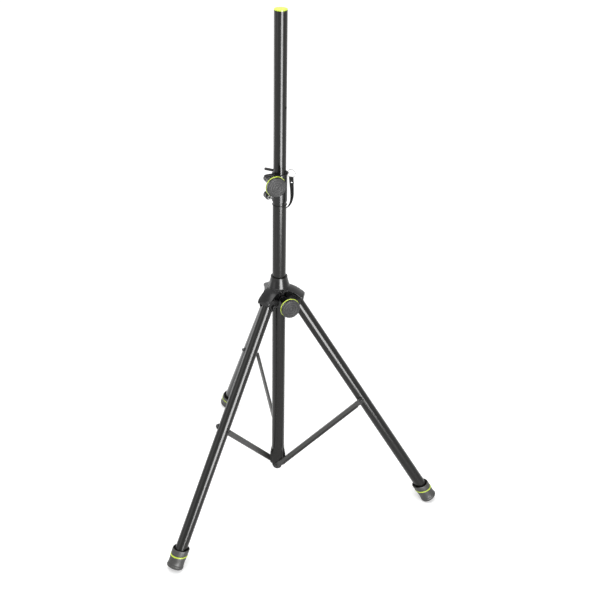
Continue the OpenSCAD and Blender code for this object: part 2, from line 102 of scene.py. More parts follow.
links.new(lift.outputs[0], glow.inputs["Strength"])
links.new(matt.outputs[0], both.inputs[0])
links.new(glow.outputs[0], both.inputs[1])
links.new(both.outputs[0], nodes["Material Output"].inputs[0])
bm = bmesh.new()
bmesh.ops.create_grid(bm, x_segments=1, y_segments=1, size=floor_half)
floor_mesh = bpy.data.meshes.new("floor")
bm.to_mesh(floor_mesh); bm.free()
floor_mesh.materials.append(floor_paint)
floor = bpy.data.objects.new("floor", floor_mesh)
scene.collection.objects.link(floor)


def softbox(name, azimuth, distance, height, aim, wide, tall, watts, gloss_only=False):
    """A flat lamp at that azimuth and height in metres, turned to the mast at the height it aims at."""
    lamp = bpy.data.lights.new(name, "AREA")
    lamp.shape, lamp.size, lamp.size_y, lamp.energy = "RECTANGLE", wide, tall, watts
    stand = bpy.data.objects.new(name, lamp)
    place = Vector((distance * cos(radians(azimuth)), distance * sin(radians(azimuth)), height))
    facing = (Vector((0, 0, aim)) - place).to_track_quat("-Z", "Y")
    stand.matrix_world = Matrix.Translation(place) @ facing.to_matrix().to_4x4()
    stand.visible_camera = False
    stand.visible_diffuse = not gloss_only
    scene.collection.objects.link(stand)


softbox("strip", -58, 2.3, 1.0, 1.6, 1.1, 2.4, 205, gloss_only=True)
softbox("edge_strip", 158, 2.8, 1.2, 0.9, 1.0, 2.4, 20, gloss_only=True)
softbox("key", -66, 2.6, 2.3, 0.7, 1.2, 1.2, 26)
softbox("overhead", -95, 0.7, 3.4, 0.4, 2.4, 2.4, 66)
softbox("fill", -140, 3.2, 1.4, 0.7, 1.8, 2.2, 14)

lens = bpy.data.cameras.new("camera")
lens.sensor_width, lens.lens = 36, 63.055
lens.clip_start, lens.clip_end = 0.1, 60
camera = bpy.data.objects.new("camera", lens)
camera.matrix_world = (Matrix.Translation((0.3629, -2.6176, 2.1691))
                       @ Matrix.Rotation(radians(6.575), 4, "Z")
                       @ Matrix.Rotation(radians(60.62), 4, "X")
                       @ Matrix.Rotation(radians(1.016), 4, "Z"))
scene.collection.objects.link(camera)
scene.camera = camera

# ---- Tether strap ----
# The pin's tether is a flat band of black nylon webbing. It is folded round the pull ring and stitched
# shut, hangs from there, and narrows as it turns on edge to the cord loop on the mast.
MM = 0.001
grain = bpy.data.node_groups.new("fine_grain", "ShaderNodeTree")
grain.interface.new_socket("Size", in_out="INPUT", socket_type="NodeSocketFloat")
grain.interface.new_socket("Height", in_out="OUTPUT", socket_type="NodeSocketFloat")
grain.interface.new_socket("Mottle", in_out="OUTPUT", socket_type="NodeSocketFloat")
ends = grain.nodes.new("NodeGroupInput"), grain.nodes.new("NodeGroupOutput")
where = grain.nodes.new("ShaderNodeTexCoord")
speck = grain.nodes.new("ShaderNodeTexNoise")
speck.inputs["Detail"].default_value = 3
cloud = grain.nodes.new("ShaderNodeTexNoise")
cloud.inputs["Scale"].default_value = 60
cloud.inputs["Detail"].default_value = 4
grain.links.new(ends[0].outputs["Size"], speck.inputs["Scale"])
grain.links.new(where.outputs["Object"], speck.inputs["Vector"])
grain.links.new(where.outputs["Object"], cloud.inputs["Vector"])
grain.links.new(speck.outputs["Fac"], ends[1].inputs["Height"])
grain.links.new(cloud.outputs["Fac"], ends[1].inputs["Mottle"])

# Wear along outer edges, partly a painted highlight: the piece's own "edge" values, broken up by a fine
# noise, mix the colour towards a lighter edge colour
wear_and_sheen_group = bpy.data.node_groups.new("edge_wear_and_sheen", "ShaderNodeTree")
wear_and_sheen_group.interface.new_socket("Amount", in_out="INPUT", socket_type="NodeSocketFloat")
wear_and_sheen_group.interface.new_socket("Mask", in_out="OUTPUT", socket_type="NodeSocketFloat")
ends = wear_and_sheen_group.nodes.new("NodeGroupInput"), wear_and_sheen_group.nodes.new("NodeGroupOutput")
where = wear_and_sheen_group.nodes.new("ShaderNodeTexCoord")
chips = wear_and_sheen_group.nodes.new("ShaderNodeTexNoise")
chips.inputs["Scale"].default_value = 240
chips.inputs["Detail"].default_value = 6
chips.inputs["Roughness"].default_value = 0.7
spread = wear_and_sheen_group.nodes.new("ShaderNodeMapRange")
spread.inputs["From Min"].default_value = 0.42
spread.inputs["From Max"].default_value = 0.62
edge = wear_and_sheen_group.nodes.new("ShaderNodeAttribute"); edge.attribute_name = "edge"
on_edge = wear_and_sheen_group.nodes.new("ShaderNodeMath"); on_edge.operation = "MULTIPLY"
scaled = wear_and_sheen_group.nodes.new("ShaderNodeMath"); scaled.operation = "MULTIPLY"
wear_and_sheen_group.links.new(where.outputs["Object"], chips.inputs["Vector"])
wear_and_sheen_group.links.new(chips.outputs["Fac"], spread.inputs["Value"])
wear_and_sheen_group.links.new(spread.outputs["Result"], on_edge.inputs[0])
wear_and_sheen_group.links.new(edge.outputs["Fac"], on_edge.inputs[1])
wear_and_sheen_group.links.new(on_edge.outputs[0], scaled.inputs[0])
wear_and_sheen_group.links.new(ends[0].outputs["Amount"], scaled.inputs[1])
wear_and_sheen_group.links.new(scaled.outputs[0], ends[1].inputs["Mask"])


def finish(name, color, rough, grain_size=900, bump=0.08, shade=0.1, rough_shade=0.03, metal=0.0,
           level=0.5, wear_and_sheen=0.0, wear_and_sheen_color=(0.1, 0.1, 0.1)):
    """A finish with fine grain in its bump, soft patches in its colour and gloss, and lighter outer edges
    that are wear and partly a painted highlight.
    """
    made = bpy.data.materials.new(name)
    made.use_nodes = True
    nodes, links = made.node_tree.nodes, made.node_tree.links
    skin = nodes["Principled BSDF"]
    skin.inputs["Metallic"].default_value = metal
    skin.inputs["Specular IOR Level"].default_value = level
    effect = nodes.new("ShaderNodeGroup"); effect.node_tree = grain
    effect.inputs["Size"].default_value = grain_size
    wear_and_sheen_node = nodes.new("ShaderNodeGroup"); wear_and_sheen_node.node_tree = wear_and_sheen_group
    wear_and_sheen_node.inputs["Amount"].default_value = wear_and_sheen
    tint = nodes.new("ShaderNodeMix"); tint.data_type = "RGBA"
    tint.inputs[6].default_value = [c * (1 - shade) for c in color] + [1]
    tint.inputs[7].default_value = [min(1, c * (1 + shade)) for c in color] + [1]
    wear_and_sheen_mix = nodes.new("ShaderNodeMix"); wear_and_sheen_mix.data_type = "RGBA"
    wear_and_sheen_mix.inputs[7].default_value = list(wear_and_sheen_color) + [1]
    polish = nodes.new("ShaderNodeMapRange")
    polish.inputs["To Min"].default_value = max(0.02, rough - rough_shade)
    polish.inputs["To Max"].default_value = rough + rough_shade
    ridges = nodes.new("ShaderNodeBump")
    ridges.inputs["Strength"].default_value = bump
    ridges.inputs["Distance"].default_value = 0.0003
    links.new(effect.outputs["Mottle"], tint.inputs["Factor"])
    links.new(effect.outputs["Mottle"], polish.inputs["Value"])
    links.new(effect.outputs["Height"], ridges.inputs["Height"])
    links.new(tint.outputs[2], wear_and_sheen_mix.inputs[6])
    links.new(wear_and_sheen_node.outputs["Mask"], wear_and_sheen_mix.inputs["Factor"])
    links.new(wear_and_sheen_mix.outputs[2], skin.inputs["Base Color"])
    links.new(polish.outputs["Result"], skin.inputs["Roughness"])
    links.new(ridges.outputs["Normal"], skin.inputs["Normal"])
    return made


def wrapped(around, along, place):
    """A closed skin from a grid that runs once round the piece and along it. place(i, j) puts each
    point, in mm."""
    bm = bmesh.new()
    bmesh.ops.create_grid(bm, x_segments=around, y_segments=along, size=0.5)
    for v in bm.verts:
        v.co = Vector(place(round((v.co.x + 0.5) * around), round((v.co.y + 0.5) * along))) * MM
    bmesh.ops.remove_doubles(bm, verts=bm.verts, dist=3e-6)
    ends = [e for e in bm.edges if e.is_boundary]
    if ends:
        bmesh.ops.holes_fill(bm, edges=ends, sides=0)
    bmesh.ops.recalc_face_normals(bm, faces=bm.faces)
    return bm


def joined(first, *others):
    """The first shape with the others added to it."""
    for other in others:
        spare = bpy.data.meshes.new("spare")
        other.to_mesh(spare); other.free()
        first.from_mesh(spare)
        bpy.data.meshes.remove(spare)
    return first


def piece(name, bm, skin, body=None, stands_for=(), sharp=38, even=True):
    """Makes the shape a smooth piece with its finish. Each point keeps how far it stands on an outer
    edge, 0 where the faces turn by 0.14 rad or less and 1 from 0.54 rad on, for the edge wear and painted
    edge highlight."""
    bent = []
    for v in bm.verts:
        turns = [e.calc_face_angle_signed(0) for e in v.link_edges if len(e.link_faces) == 2]
        bent.append(max(0.0, min(1.0, (max(turns, default=0) - 0.14) / 0.4)))
    mesh = bpy.data.meshes.new(name)
    bm.to_mesh(mesh); bm.free()
    mesh.attributes.new("edge", "FLOAT", "POINT").data.foreach_set("value", bent)
    mesh.materials.append(skin)
    mesh.polygons.foreach_set("use_smooth", [True] * len(mesh.polygons))
    mesh.set_sharp_from_angle(angle=radians(sharp))
    made = bpy.data.objects.new(name, mesh)
    scene.collection.objects.link(made)
    if even:
        made.modifiers.new("even", "WEIGHTED_NORMAL").keep_sharp = True
    if stands_for:
        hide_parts(*stands_for)
    if body:
        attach(made, body)
    return made


def dress(skin, *names):
    """Gives CAD nodes that are shown as they are their finish."""
    for name in names:
        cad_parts[name].data.materials.clear()
        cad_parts[name].data.materials.append(skin)


# The route of the strap's middle line, with heights from its top end
strap_top = 1065.85
strap_route = [(32.6, -9.0, 0), (33.6, -10.2, -12), (34.7, -11.6, -25), (35.7, -13.0, -40),
               (35.6, -14.1, -54), (33.0, -15.6, -68), (28.0, -18.2, -78), (22.5, -19.8, -83),
               (17.5, -19.4, -84.5), (13.2, -17.3, -83.2)]
strap_half, strap_end_half, strap_t, strap_steps = 6.3, 1.2, 1.5, 6
strap_azimuth, strap_end_azimuth, strap_end_lift, narrows_from = 352, 278, 24, 0.42
loop_below, sewn_below, weave_step = 84.5, 16.5, 1.75


def on_route(k):
    """A point of the strap's middle line, strap_steps to each stretch of its route, in mm."""
    i = min(k // strap_steps, len(strap_route) - 2)
    f = k / strap_steps - i
    last = len(strap_route) - 1
    a, b, c, d = (Vector(strap_route[max(0, min(last, i + n))]) for n in (-1, 0, 1, 2))
    curve = 2 * b + (c - a) * f + (2 * a - 5 * b + 4 * c - d) * f * f + (3 * b - a - 3 * c + d) * f ** 3
    return curve / 2 + Vector((0, 0, strap_top))


strap_n = strap_steps * (len(strap_route) - 1)
strap_side = [(-1, -0.35), (-0.93, -1), (-0.5, -1), (0, -1), (0.5, -1), (0.93, -1), (1, -0.35),
              (1, 0.35), (0.93, 1), (0.5, 1), (0, 1), (-0.5, 1), (-0.93, 1), (-1, 0.35)]


def strap_point(i, j):
    f = j / strap_n
    here = on_route(j)
    along = (on_route(min(j + 1, strap_n)) - on_route(max(j - 1, 0))).normalized()
    turn = radians(strap_azimuth + (strap_end_azimuth - strap_azimuth) * f)
    lift = radians(strap_end_lift * f)
    wide = Vector((cos(turn) * cos(lift), sin(turn) * cos(lift), sin(lift)))
    wide = (wide - along * wide.dot(along)).normalized()
    x, y = strap_side[i % len(strap_side)]
    narrow = max(0.0, (f - narrows_from) / (1 - narrows_from))
    half = strap_half + (strap_end_half - strap_half) * narrow ** 0.8
    return here + wide * half * x + along.cross(wide) * (strap_t / 2) * y


webbing = finish("webbing", (0.005, 0.005, 0.0052), 0.5, 1400, 0.1, level=0.22, wear_and_sheen=0.3,
                 wear_and_sheen_color=(0.04, 0.04, 0.042))
nodes, links = webbing.node_tree.nodes, webbing.node_tree.links
lay = nodes.new("ShaderNodeUVMap"); lay.uv_map = "weave"
ribs = nodes.new("ShaderNodeTexWave")
ribs.wave_type, ribs.bands_direction, ribs.wave_profile = "BANDS", "Y", "SIN"
ribs.inputs["Scale"].default_value = 0.5
ribs.inputs["Distortion"].default_value = 0.4
twill = nodes.new("ShaderNodeTexWave")
twill.wave_type, twill.bands_direction, twill.wave_profile = "BANDS", "DIAGONAL", "TRI"
twill.inputs["Scale"].default_value = 0.9
weft = nodes.new("ShaderNodeMath"); weft.operation = "ADD"
links.new(lay.outputs[0], ribs.inputs["Vector"])
links.new(lay.outputs[0], twill.inputs["Vector"])
links.new(ribs.outputs["Fac"], weft.inputs[0])
links.new(twill.outputs["Fac"], weft.inputs[1])
ridges = next(n for n in nodes if n.type == "BUMP")
ridges.inputs["Strength"].default_value = 0.5
links.new(weft.outputs[0], ridges.inputs["Height"])

strap_bm = wrapped(len(strap_side), strap_n, strap_point)
strap_bm.loops.layers.uv.new("weave")
strap = piece("strap", strap_bm, webbing, stands_for=["tether_strap"])
line = [on_route(k) * MM for k in range(strap_n + 1)]
for loop, uv in zip(strap.data.loops, strap.data.uv_layers["weave"].data):
    at = strap.data.vertices[loop.vertex_index].co
    near = min(range(len(line)), key=lambda k: (line[k] - at).length)
    uv.uv = ((at - line[near]).length / MM, near * weave_step)
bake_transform(strap)

# A tab of the same webbing goes over the ring's wire and down both faces of the strap, sewn and riveted
fold_at, fold_z, fold_low, fold_half, fold_t = Vector((32.5, -8.55)), 1067.05, 1050.2, 5.9, 1.1
fold_bend, fold_lean, fold_leans_over = 1.95, Vector((1.1, -1.2)), 12
fold_wide = Vector((cos(radians(strap_azimuth)), sin(radians(strap_azimuth))))
fold_out = Vector((cos(radians(strap_azimuth - 90)), sin(radians(strap_azimuth - 90))))
fold_line = [(1.35, fold_low), (1.35, fold_low + 3), (1.36, fold_z - 10), (1.5, fold_z - 6),
             (1.8, fold_z - 2.6)]
fold_line += [(fold_bend * cos(radians(a)), fold_z + fold_bend * sin(radians(a))) for a in range(0, 181, 15)]
fold_line += [(-n, z) for n, z in reversed(fold_line[:5])]
fold_side = [(-1, -0.4), (-0.95, -1), (-0.5, -1), (0, -1), (0.5, -1), (0.95, -1), (1, -0.4),
             (1, 0.4), (0.95, 1), (0.5, 1), (0, 1), (-0.5, 1), (-0.95, 1), (-1, 0.4)]


def strap_side_point(wide, out, z):
    """A place on the strap's top end: across its width, out from its face, and up, in mm."""
    lean = fold_lean * ((fold_z - z) / fold_leans_over if z < fold_z else 0)
    at = fold_at + fold_wide * wide + fold_out * out + lean
    return at.x, at.y, z


def fold_point(i, j):
    (n0, z0), (n, z), (n1, z1) = (fold_line[max(0, min(len(fold_line) - 1, j + d))] for d in (-1, 0, 1))
    along = Vector((n1 - n0, z1 - z0)).normalized()
    x, y = fold_side[i % len(fold_side)]
    thick = fold_t / 2 * y
    return strap_side_point(fold_half * x, n + along.y * thick, z - along.x * thick)


fold = piece("strap_fold", wrapped(len(fold_side), len(fold_line) - 1, fold_point), webbing,
             "pole")
thread = finish("thread", (0.05, 0.05, 0.052), 0.6, 2000, 0.1)
stitch_rows, stitch_from, stitch_pitch, stitch_out = (7.2, 9.0), -4.5, 1.8, 1.98
sewn = bmesh.new()
for out in (stitch_out, -stitch_out):
    for below in stitch_rows:
        for k in range(6):
            stitch = bmesh.new()
            bmesh.ops.create_uvsphere(stitch, u_segments=10, v_segments=6, radius=MM)
            bmesh.ops.scale(stitch, vec=(0.72, 0.2, 0.2), verts=stitch.verts)
            bmesh.ops.rotate(stitch, matrix=Matrix.Rotation(radians(strap_azimuth - 360), 3, "Z"),
                             verts=stitch.verts)
            place = Vector(strap_side_point(stitch_from + stitch_pitch * k, out, fold_z - below)) * MM
            bmesh.ops.translate(stitch, vec=place, verts=stitch.verts)
            joined(sewn, stitch)
stitches = piece("strap_stitches", sewn, thread, "pole", even=False)

rivet_plate = finish("rivet_plate", (0.62, 0.62, 0.62), 0.2, 1800, 0.03, 0.06, metal=1.0)
rivet_around, rivet_below = 28, 13.2
# Rows of the rivet: radius, and how far out from the strap's middle
rivet_side = [(0.01, 2.75), (0.9, 2.7), (1.6, 2.45), (2.0, 2.05), (2.1, 1.6), (2.1, -1.6),
              (2.0, -2.05), (1.3, -2.6), (0.01, -2.75)]


def rivet_point(i, j):
    r, out = rivet_side[j]
    a = 2 * pi * i / rivet_around
    return strap_side_point(r * cos(a), out, fold_z - rivet_below + r * sin(a))


rivet = piece("strap_rivet", wrapped(rivet_around, len(rivet_side) - 1, rivet_point), rivet_plate,
              "pole")
dress(webbing, "tether_loop")

# ---- Mast ----
# A steel tube, powder coated a satin black, with fine scuffs along it where the hub slides. Its foot is
# pressed into three flat cheeks for the braces, with a groove between each two and the lower edge of
# every cheek round.
scuffs = bpy.data.node_groups.new("scuffs", "ShaderNodeTree")
scuffs.interface.new_socket("Mask", in_out="OUTPUT", socket_type="NodeSocketFloat")
where = scuffs.nodes.new("ShaderNodeTexCoord")
drawn = scuffs.nodes.new("ShaderNodeMapping")
drawn.inputs["Scale"].default_value = (520, 520, 5)
lines = scuffs.nodes.new("ShaderNodeTexNoise")
lines.inputs["Scale"].default_value = 1
lines.inputs["Detail"].default_value = 3
few = scuffs.nodes.new("ShaderNodeMapRange")
few.inputs["From Min"].default_value = 0.6
few.inputs["From Max"].default_value = 0.78
few.inputs["To Max"].default_value = 0.55
scuffs.links.new(where.outputs["Object"], drawn.inputs["Vector"])
scuffs.links.new(drawn.outputs["Vector"], lines.inputs["Vector"])
scuffs.links.new(lines.outputs["Fac"], few.inputs["Value"])
scuffs.links.new(few.outputs["Result"], scuffs.nodes.new("NodeGroupOutput").inputs["Mask"])

powder_coat = (0.009, 0.0088, 0.008)
slid_black = finish("slid_black", powder_coat, 0.2, 1500, 0.03, 0.08, 0.02, level=0.28,
                    wear_and_sheen_color=(0.05, 0.05, 0.048))
wear_and_sheen_node = slid_black.node_tree.nodes.new("ShaderNodeGroup"); wear_and_sheen_node.node_tree = scuffs
wear_and_sheen_mix = next(n for n in slid_black.node_tree.nodes if n.type == "MIX" and n.inputs[6].is_linked)
slid_black.node_tree.links.new(wear_and_sheen_node.outputs["Mask"], wear_and_sheen_mix.inputs["Factor"])

mast_r, mast_in, mast_top, mast_rim, mast_around = 19.0, 17.9, 1048, 0.4, 144
cheek_z, cheek_r, cheek_flat, lobe_r, press_z, bore_z = 97, 14.0, 19.3, 24.2, 168, 156
groove_r, groove_at, groove_drop, uncut, press_steps = 7, 25.4, 4.6, 60, 30
mast_rows = [("floor", 0), ("floor", mast_in - 1), ("bore", bore_z), ("bore", 600),
             ("bore", mast_top - mast_rim), ("rim", mast_top), ("out", mast_top - mast_rim)]
mast_rows += [("out", z) for z in (800, 600, 420, 260, 190, press_z)]
mast_rows += [("press", k / press_steps) for k in range(1, press_steps + 1)]
mast_rows += [("lip", 0.35), ("lip", 0.8), ("lip", 1.4), ("end", 1), ("end", 0)]


def blunt_min(a, b, k):
    """The lesser of two lengths, eased over k where they are alike."""
    h = max(0.0, min(1.0, 0.5 + 0.5 * (b - a) / k))
    return b + (a - b) * h - k * h * (1 - h)


def pressed(phi, drop):
    """The pressed end's radius at phi degrees from a cheek's middle, and the height of the lower edge."""
    phi = abs((phi + 60) % 120 - 60)
    flat = cheek_flat / cos(radians(phi))
    centre = groove_at - groove_drop * drop
    off = centre * sin(radians(60 - phi))
    cut = centre * cos(radians(60 - phi)) - sqrt(groove_r ** 2 - off * off) if off < groove_r else uncut
    side = min(cheek_r, cheek_flat * tan(radians(phi)))
    return blunt_min(min(flat, lobe_r), cut, 2.6), cheek_z - sqrt(cheek_r ** 2 - side * side)


def mast_point(i, j):
    kind, value = mast_rows[j]
    azimuth = i * 360 / mast_around
    straight = {"floor": (value, bore_z), "bore": (mast_in, value), "rim": (mast_r - mast_rim, value),
                "out": (mast_r, value)}
    if kind in straight:
        radius, z = straight[kind]
    else:
        share = value if kind == "press" else 1
        full, edge_z = pressed(azimuth + 90, share)
        ease = min(1, share / 0.62)
        radius = mast_r + (full - mast_r) * ease * ease * (3 - 2 * ease)
        z = press_z + (edge_z - press_z) * share
        if kind == "lip":
            radius, z = radius - value, z - 0.3 + abs(value - 0.7) * 0.3
        elif kind == "end":
            radius, z = (radius - 1.5) * value, cheek_z - 1
    return radius * cos(radians(azimuth)), radius * sin(radians(azimuth)), z


piece("mast_tube", wrapped(mast_around, len(mast_rows) - 1, mast_point), slid_black, "mast",
      ["lower_tube"], even=False)

# ---- Hub ----
# One casting of glass-filled nylon that slides on the mast. A tapered collar spreads into three arched
# hoods over the legs' top ends; below them hang a sleeve, a pair of lugs for each leg's pivot, and the
# boss for the knob's screw.
# Its lighter outer edges are wear and partly a painted highlight: the light line along the hoods' rounded
# edges.
nylon_black = finish("nylon_black", (0.005, 0.005, 0.0052), 0.22, 1300, 0.05, 0.12, 0.02, level=0.32,
                     wear_and_sheen=0.2, wear_and_sheen_color=(0.04, 0.04, 0.04))
hub_top, hub_rim, hub_bore, collar_r, ledge_z = 761.0, 23.8, 21.0, 31.2, 732
hood_half, hood_end, skirt_r, wall = 21.2, 73.0, 33.4, 3.0
pivot_r, pivot_z, lug_from, lug_to = 50.5, 685.4, 17.5, 20.1
sleeve_r, sleeve_low, sleeve_top, boss_z, boss_end, knob_azimuth = 24.5, 668, 722, 697.9, 31.7, 300


def from_hood(theta):
    """An azimuth counted from the middle of the nearest hood, in degrees."""
    return (theta + 60) % 120 - 60


def hood_edge(theta):
    """The hub's outline from above: three hoods with round corners, and the skirt between them."""
    phi = radians(abs(from_hood(theta)))
    side = hood_half / max(sin(phi), 0.05)
    hood = blunt_min(hood_end / cos(phi), side, 12)
    return -blunt_min(-hood, -skirt_r, 5)


def roof(r, theta):
    """Height of a hood's top, which falls outwards along the leg and to both sides."""
    phi = radians(from_hood(theta))
    along, side = r * cos(phi), r * sin(phi)
    return 727.5 - 0.25 * (along - 31) - 0.0085 * (along - 31) ** 2 - side * side / 150


def hood_foot(r, theta):
    """Height of the lower edge of the hood's wall."""
    slope = 695 + max(0.0, 70.2 - r * cos(radians(from_hood(theta)))) * 0.7
    return min(slope, roof(r, theta) - 3.4)


# The outline is walked in even steps, so that its corners and long sides get points alike
turns, walked = [0.0], [0.0]
for k in range(1, 3601):
    a, b = radians((k - 1) / 10), radians(k / 10)
    ra, rb = hood_edge((k - 1) / 10), hood_edge(k / 10)
    walked.append(walked[-1] + sqrt((rb * cos(b) - ra * cos(a)) ** 2 + (rb * sin(b) - ra * sin(a)) ** 2))
hub_around, at = 300, 0
for k in range(1, hub_around):
    while walked[at] < walked[-1] * k / hub_around:
        at += 1
    turns.append(at / 10)
turns.append(360.0)
edge_soft = [(cos(radians(t)), sin(radians(t))) for t in (90, 70, 50, 30, 10, 0)]


def hub_profile(theta):
    """The casting's closed outline at one azimuth: up the bore, down the collar, over the hood's roof,
    round its wall and back under it."""
    edge, top = hood_edge(theta), roof(collar_r, theta)
    low = hood_foot(edge, theta)
    tip = max(0.0, min(1.0, (edge * cos(radians(from_hood(theta))) - 58) / 14))
    over = min(1.3 + 4.2 * tip * tip, (edge - collar_r) * 0.5)
    points = [(hub_bore, top - 8), (hub_bore, hub_top - 0.8), (hub_bore + 0.8, hub_top),
              (hub_rim - 0.9, hub_top), (hub_rim - 0.25, hub_top - 0.25), (hub_rim, hub_top - 0.9),
              (hub_rim + 0.35, hub_top - 6)]
    points += [(hub_rim + 0.35 + (collar_r - 1.5 - hub_rim) * f, hub_top - 6 - (hub_top - 6 - ledge_z) * f)
               for f in (0.25, 0.5, 0.75, 1)]
    points += [(collar_r - 0.7, ledge_z - 0.7), (collar_r - 0.1, ledge_z - 1.0),
               (collar_r + 0.2, ledge_z - 1.6), (collar_r + 0.25, ledge_z - 2.6)]
    start = collar_r + 0.3
    heel = min(1.2, (edge - over - start) * 0.4)
    heel_z = min(ledge_z - 2.8, roof(start + heel, theta) + heel)
    points += [(start + heel * (1 - cos(radians(a))), heel_z - heel * sin(radians(a))) for a in (0, 30, 60)]
    start += heel
    reach = edge - over - start
    points += [(start + reach * f, roof(start + reach * f, theta)) for f in (0, 0.12, 0.3, 0.5, 0.7, 0.88)]
    crest = roof(edge - over, theta)
    points += [(edge - over + over * c, crest - over + over * s) for c, s in edge_soft]
    down = max(low + 1, min(crest - over - 0.3, low + 6))
    points += [(edge, crest - over - (crest - over - down) * 0.5), (edge, down), (edge, low + 0.7),
               (edge - 0.3, low + 0.2), (edge - 0.9, low), (edge - wall + 0.9, low),
               (edge - wall + 0.2, low + 0.3), (edge - wall, low + 0.9)]
    under = max(low + 1.2, roof(edge - wall, theta) - wall - 1.2)
    points += [(edge - wall, under), (edge - wall - 0.6, under + 0.5)]
    for f in (0.85, 0.6, 0.3, 0):
        r = 24.0 + (edge - wall - 24.6) * f
        points.append((r, max(low + 1.5, roof(r, theta) - wall - 0.6)))
    return points + [(22.5, top - 8)]


hub_rows = [hub_profile(t) for t in turns]


def hub_point(i, j):
    r, z = hub_rows[i % hub_around][j % len(hub_rows[0])]
    return r * cos(radians(turns[i])), r * sin(radians(turns[i])), z


piece("hub_hoods", wrapped(hub_around, len(hub_rows[0]), hub_point), nylon_black, "hub",
      ["hub_casting"], sharp=50)


def rounded(corners, radius, steps=5):
    """A closed outline with its corners made round. A corner may carry its own radius as a third
    number."""
    made = []
    for k, corner in enumerate(corners):
        here, back = Vector(corner[:2]), Vector(corners[k - 1][:2])
        on = Vector(corners[(k + 1) % len(corners)][:2])
        want = corner[2] if len(corner) > 2 else radius
        a, b = (back - here), (on - here)
        half = a.angle(b) / 2
        if want <= 0 or half > 1.55 or half < 0.02:
            made.append(tuple(here)); continue
        cut = min(want / tan(half), a.length * 0.49, b.length * 0.49)
        want = cut * tan(half)
        centre = here + (a.normalized() + b.normalized()).normalized() * (want / sin(half))
        first, last = here + a.normalized() * cut - centre, here + b.normalized() * cut - centre
        sweep = first.angle_signed(last) if first.length > 1e-9 else 0
        for n in range(steps + 1):
            made.append(tuple(centre + Matrix.Rotation(-sweep * n / steps, 2) @ first))
    return made


def plate(outline, t0, t1, soft, place):
    """A flat plate of that outline in x and z, from y = t0 to t1, with soft edges, in mm."""
    bm = bmesh.new()
    face = bm.faces.new([bm.verts.new((x * MM, t0 * MM, z * MM)) for x, z in outline])
    grown = bmesh.ops.extrude_face_region(bm, geom=[face])
    far_side = [v for v in grown["geom"] if isinstance(v, bmesh.types.BMVert)]
    bmesh.ops.translate(bm, verts=far_side, vec=(0, (t1 - t0) * MM, 0))
    bmesh.ops.recalc_face_normals(bm, faces=bm.faces)
    hard = [e for e in bm.edges if e.calc_face_angle(0) > radians(60)]
    bmesh.ops.bevel(bm, geom=hard, offset=soft * MM, affect="EDGES", segments=2, profile=0.5, material=-1)
    bmesh.ops.transform(bm, matrix=place, verts=bm.verts)
    return bm


def turned(profile, place=Matrix(), steps=96, closed=False):
    """A shape turned on a lathe from its outline in radius and height, in mm."""
    bm = bmesh.new()
    line = [bm.verts.new((r * MM, 0, z * MM)) for r, z in profile]
    for a, b in zip(line, line[1:] + (line[:1] if closed else [])):
        bm.edges.new((a, b))
    bmesh.ops.spin(bm, geom=bm.verts[:] + bm.edges[:], cent=(0, 0, 0), axis=(0, 0, 1), angle=2 * pi,
                   steps=steps, use_merge=True)
    bmesh.ops.remove_doubles(bm, verts=bm.verts, dist=2e-6)
    bmesh.ops.recalc_face_normals(bm, faces=bm.faces)
    bmesh.ops.transform(bm, matrix=place, verts=bm.verts)
    return bm


def about(azimuth):
    return Matrix.Rotation(radians(azimuth), 4, "Z")


lug_outline = rounded([(24, 724.5), (36, 722), (44, 719), (50, 715.5), (58, 710.5), (65.5, 700, 5),
                       (64.5, 685.4, 6), (61.5, 676.3, 9), (50.5, 671.4, 12), (40, 676, 10), (24, 683, 2)],
                      2, 6)
sleeve_side = rounded([(hub_bore, sleeve_low), (sleeve_r, sleeve_low, 1), (sleeve_r, sleeve_top),
                       (hub_bore, sleeve_top)], 0.4, 3)
boss_side = rounded([(7.2, 22), (12.6, 22), (10.9, 26, 2), (10.5, boss_end, 1), (7.2, boss_end, 0.6)],
                    0.3, 3)
boss_place = Matrix.Translation((0, 0, boss_z * MM)) @ about(knob_azimuth) @ Matrix.Rotation(pi / 2, 4, "Y")
lugs = [plate(lug_outline, side * lug_from, side * lug_to, 0.6, about(120 * k))
        for k in range(3) for side in (-1, 1)]
hub_low = joined(turned(sleeve_side, closed=True), turned(boss_side, boss_place, closed=True), *lugs)
piece("hub_sleeve", hub_low, nylon_black, "hub")
bush_grey = finish("bush_grey", (0.014, 0.014, 0.0145), 0.4, 1200, 0.05, level=0.4)
# Its lighter outer edges are wear and partly painted glints on the screw heads and nuts.
dark_steel = finish("dark_steel", (0.045, 0.045, 0.045), 0.28, 1600, 0.05, metal=1.0, wear_and_sheen=0.4,
                    wear_and_sheen_color=(0.16, 0.16, 0.16))
dress(bush_grey, "hub_liner")
dress(dark_steel, "hub_insert")

# ---- Legs ----
# Three straight tubes of the same satin black as the mast, each closed at its top by a moulded plug that
# turns with it on the pivot's screw.
tube_black = finish("tube_black", powder_coat, 0.2, 1500, 0.03, 0.08, 0.02, level=0.28)


def softened(name, node, width, skin, body, seg=2):
    """The CAD node's own shape with its edges made round, as a moulded or turned piece's are."""
    bm = bmesh.new()
    bm.from_mesh(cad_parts[node].data)
    bmesh.ops.remove_doubles(bm, verts=bm.verts, dist=1e-6)
    bmesh.ops.dissolve_limit(bm, angle_limit=radians(0.6), verts=bm.verts, edges=bm.edges)
    hard = [e for e in bm.edges if len(e.link_faces) == 2 and e.calc_face_angle(0) > radians(32)]
    bmesh.ops.bevel(bm, geom=hard, offset=width * MM, offset_type="OFFSET", affect="EDGES",
                    segments=seg, profile=0.5, material=-1, clamp_overlap=True)
    bmesh.ops.remove_doubles(bm, verts=bm.verts, dist=1e-6)
    piece(name, bm, skin, body, [node])


